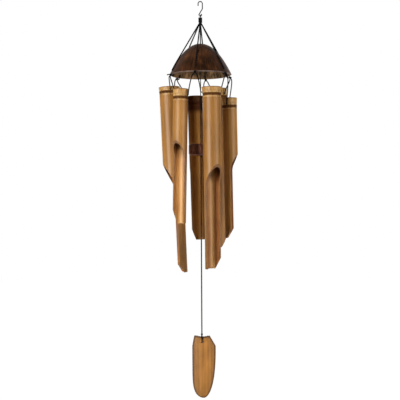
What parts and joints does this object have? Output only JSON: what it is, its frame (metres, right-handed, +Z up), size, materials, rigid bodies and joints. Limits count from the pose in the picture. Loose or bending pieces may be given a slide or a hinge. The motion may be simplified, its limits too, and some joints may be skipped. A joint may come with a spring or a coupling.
{
  "type": "bamboo wind chime",
  "caption": "Hanging wind chime: a half coconut shell on a wire hook carries scooped bamboo tubes on cord slings round a wooden clapper disc, with a bowed bamboo sail on a line below.",
  "frame": {"origin": "top of the inside of the hook's upper bend, where the chime bears on what it hangs from", "axes": "+Z up along the hanging line, -Y towards the viewer's side, +X to the right seen from there"},
  "size_m": [0.1513, 0.1493, 0.7607],
  "materials": {
    "black_cord": "braided cord, matte",
    "bright_wire": "bright zinc-plated wire",
    "coconut": "polished coconut shell",
    "bamboo": "smoked bamboo, satin",
    "dark_wood": "stained coconut wood, satin",
    "split_bamboo": "smoked bamboo, satin"
  },
  "bodies": {
    "hook": {"s_hook": "bright_wire"},
    "hanger": {"hanger_loop": "black_cord", "whipping": "black_cord", "canopy_cord_1": "black_cord", "canopy_cord_2": "black_cord", "canopy_cord_3": "black_cord", "canopy_cord_4": "black_cord", "canopy_cord_5": "black_cord", "canopy_cord_6": "black_cord", "center_cord": "black_cord", "coconut_shell": "coconut", "rim_knot_1": "black_cord", "rim_knot_2": "black_cord", "rim_knot_3": "black_cord", "rim_knot_4": "black_cord", "rim_knot_5": "black_cord", "rim_knot_6": "black_cord"},
    "back_right_sling": {"sling_back_right": "black_cord"},
    "back_right_tube": {"tube_back_right": "bamboo"},
    "back_sling": {"sling_back": "black_cord"},
    "back_tube": {"tube_back": "bamboo"},
    "left_sling": {"sling_left": "black_cord"},
    "left_tube": {"tube_left": "bamboo"},
    "front_left_sling": {"sling_front_left": "black_cord"},
    "front_left_tube": {"tube_front_left": "bamboo"},
    "front_right_sling": {"sling_front_right": "black_cord"},
    "front_right_tube": {"tube_front_right": "bamboo"},
    "right_sling": {"sling_right": "black_cord"},
    "right_tube": {"tube_right": "bamboo"},
    "clapper_gimbal": {"apex_knot": "black_cord"},
    "clapper_line": {"clapper_cord": "black_cord", "clapper": "dark_wood"},
    "sail_line": {"clapper_knot": "black_cord", "sail_cord": "black_cord"},
    "sail_turn": {"sail_knot": "black_cord", "sail_loop": "black_cord", "sail": "split_bamboo"}
  },
  "joints": [
    {"name": "hanger_swing", "type": "hinge", "parent": "hook", "child": "hanger", "pos_m": [0, 0, -0.0271], "axis": [1, 0, 0], "range_deg": [-20, 20]},
    {"name": "back_right_sling_swing", "type": "hinge", "parent": "hanger", "child": "back_right_sling", "pos_m": [0.03366, 0.04011, -0.14184], "axis": [0.766, -0.6428, 0], "range_deg": [-3, 20]},
    {"name": "back_right_tube_swing", "type": "hinge", "parent": "back_right_sling", "child": "back_right_tube", "pos_m": [0.03456, 0.04118, -0.173], "axis": [-0.766, 0.6428, 0], "range_deg": [-6, 3]},
    {"name": "back_sling_swing", "type": "hinge", "parent": "hanger", "child": "back_sling", "pos_m": [-0.01791, 0.0492, -0.14184], "axis": [0.9397, 0.342, 0], "range_deg": [-3, 20]},
    {"name": "back_tube_swing", "type": "hinge", "parent": "back_sling", "child": "back_tube", "pos_m": [-0.00973, 0.05421, -0.1845], "axis": [-0.9394, -0.3419, -0.0262], "range_deg": [-6, 3]},
    {"name": "left_sling_swing", "type": "hinge", "parent": "hanger", "child": "left_sling", "pos_m": [-0.05157, 0.00909, -0.14184], "axis": [0.1736, 0.9848, 0], "range_deg": [-3, 20]},
    {"name": "left_tube_swing", "type": "hinge", "parent": "left_sling", "child": "left_tube", "pos_m": [-0.05442, 0.0096, -0.1676], "axis": [-0.1736, -0.9848, 0], "range_deg": [-6, 3]},
    {"name": "front_left_sling_swing", "type": "hinge", "parent": "hanger", "child": "front_left_sling", "pos_m": [-0.03366, -0.04011, -0.14184], "axis": [-0.766, 0.6428, 0], "range_deg": [-3, 20]},
    {"name": "front_left_tube_swing", "type": "hinge", "parent": "front_left_sling", "child": "front_left_tube", "pos_m": [-0.0352, -0.04195, -0.1846], "axis": [0.766, -0.6428, 0], "range_deg": [-6, 3]},
    {"name": "front_right_sling_swing", "type": "hinge", "parent": "hanger", "child": "front_right_sling", "pos_m": [0.01791, -0.0492, -0.14184], "axis": [-0.9397, -0.342, 0], "range_deg": [-3, 20]},
    {"name": "front_right_tube_swing", "type": "hinge", "parent": "front_right_sling", "child": "front_right_tube", "pos_m": [0.0189, -0.05193, -0.1796], "axis": [0.9397, 0.342, 0.0087], "range_deg": [-6, 3]},
    {"name": "right_sling_swing", "type": "hinge", "parent": "hanger", "child": "right_sling", "pos_m": [0.05157, -0.00909, -0.14184], "axis": [-0.1736, -0.9848, 0], "range_deg": [-3, 20]},
    {"name": "right_tube_swing", "type": "hinge", "parent": "right_sling", "child": "right_tube", "pos_m": [0.05196, -0.00916, -0.1979], "axis": [0.1736, 0.9848, 0], "range_deg": [-6, 3]},
    {"name": "clapper_swing_front", "type": "hinge", "parent": "hanger", "child": "clapper_gimbal", "pos_m": [0, 0, -0.087], "axis": [1, 0, 0], "range_deg": [-4.5, 4.5]},
    {"name": "clapper_swing_side", "type": "hinge", "parent": "clapper_gimbal", "child": "clapper_line", "pos_m": [0, 0, -0.087], "axis": [0, 1, 0], "range_deg": [-4.5, 3]},
    {"name": "sail_swing", "type": "hinge", "parent": "clapper_line", "child": "sail_line", "pos_m": [0, 0, -0.29625], "axis": [-1, 0, 0], "range_deg": [-6, 6]},
    {"name": "sail_twist", "type": "hinge", "parent": "sail_line", "child": "sail_turn", "pos_m": [0, 0, -0.63825], "axis": [0, 0, 1], "range_deg": [-180, 180]}
  ]
}
